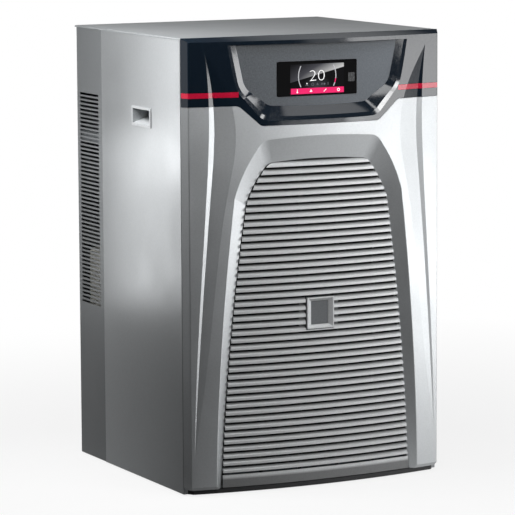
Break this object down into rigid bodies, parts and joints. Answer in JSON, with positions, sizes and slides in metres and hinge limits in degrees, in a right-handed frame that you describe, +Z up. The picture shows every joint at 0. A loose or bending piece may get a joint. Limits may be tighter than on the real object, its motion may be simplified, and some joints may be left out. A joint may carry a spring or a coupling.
{
  "type": "industrial chiller",
  "caption": "Floor-standing cabinet chiller with a bowed front, louvred air intake, recessed display console, side grip cups, and rear coolant ports, filler and drain.",
  "frame": {"origin": "on the floor, under the middle of the whole unit with its rear fittings", "axes": "+Z up, -Y out of the louvred front, +X to the right for someone who faces the front"},
  "size_m": [0.4524, 0.465, 0.71],
  "materials": {
    "silver_sheet": "satin metallic",
    "silver_moulding": "satin metallic",
    "grille_moulding": "satin metallic",
    "emblem_blank": "satin",
    "header_gloss": "gloss",
    "console_grey": "satin",
    "accent_red": "gloss",
    "display_black": "gloss",
    "module_metal": "matte",
    "board_green": "satin",
    "black_plastic": "matte",
    "grip_grey": "satin",
    "rubber_black": "matte",
    "zinc_steel": "zinc plated",
    "fin_aluminium": "satin",
    "shaft_steel": "brushed",
    "compressor_black": "satin",
    "copper_pipe": "satin",
    "valve_brass": "satin",
    "tank_white": "satin",
    "pump_body": "satin",
    "window_clear": "clear"
  },
  "bodies": {
    "cabinet": {"accumulator_strap": "zinc_steel", "base_pan": "zinc_steel", "compressor": "compressor_black", "compressor_mounts": "rubber_black", "condenser_coil": "fin_aluminium", "console_panel": "console_grey", "control_board": "board_green", "coolant_inlet_port": "valve_brass", "coolant_outlet_port": "valve_brass", "coolant_pump": "pump_body", "coolant_tank": "tank_white", "discharge_pipe": "copper_pipe", "display_glass": "display_black", "display_module": "module_metal", "drain_valve": "valve_brass", "electronics_shelf": "zinc_steel", "evaporator": "shaft_steel", "evaporator_stand": "zinc_steel", "expansion_valve": "valve_brass", "fan_bracket": "zinc_steel", "fan_motor": "fin_aluminium", "fan_shroud": "black_plastic", "filler_neck": "tank_white", "filler_pocket": "black_plastic", "filter_drier": "copper_pipe", "foot_pads": "rubber_black", "front_cover": "silver_moulding", "front_frame": "zinc_steel", "front_plinth": "black_plastic", "header_panel": "header_gloss", "heat_sink": "fin_aluminium", "left_accent_strip": "accent_red", "left_grip_cup": "grip_grey", "left_side_panel": "silver_sheet", "level_window": "window_clear", "liquid_pipe": "copper_pipe", "mains_socket": "black_plastic", "port_nuts": "valve_brass", "power_box": "zinc_steel", "power_box_lid": "zinc_steel", "pump_hose": "rubber_black", "rear_cover": "silver_sheet", "rear_screws": "shaft_steel", "rear_shell": "silver_sheet", "right_accent_strip": "accent_red", "right_grip_cup": "grip_grey", "right_side_panel": "silver_sheet", "signal_sockets": "black_plastic", "suction_accumulator": "compressor_black", "suction_pipe": "copper_pipe", "supply_hose": "rubber_black", "top_cover": "silver_sheet"},
    "fan": {"fan_impeller": "black_plastic", "fan_shaft": "shaft_steel"},
    "grille": {"louvre_grille": "grille_moulding", "emblem_frame": "grille_moulding", "emblem_plate": "emblem_blank"},
    "filler_cap": {"filler_cap": "black_plastic"},
    "drain_lever": {"drain_lever": "shaft_steel"}
  },
  "joints": [
    {"name": "fan_spin", "type": "hinge", "parent": "cabinet", "child": "fan", "pos_m": [0, -0.1641, 0.275], "axis": [0, 1, 0], "continuous": true},
    {"name": "grille_pull", "type": "slide", "parent": "cabinet", "child": "grille", "axis": [0, -1, 0], "range_m": [0, 0.06]},
    {"name": "filler_cap_turn", "type": "hinge", "parent": "cabinet", "child": "filler_cap", "pos_m": [-0.14, 0.1705, 0.403], "axis": [0, 0.7071, 0.7071], "range_deg": [0, 90]},
    {"name": "drain_lever_turn", "type": "hinge", "parent": "cabinet", "child": "drain_lever", "pos_m": [-0.168, 0.2125, 0.06], "axis": [0, 0, 1], "range_deg": [0, 90]}
  ]
}
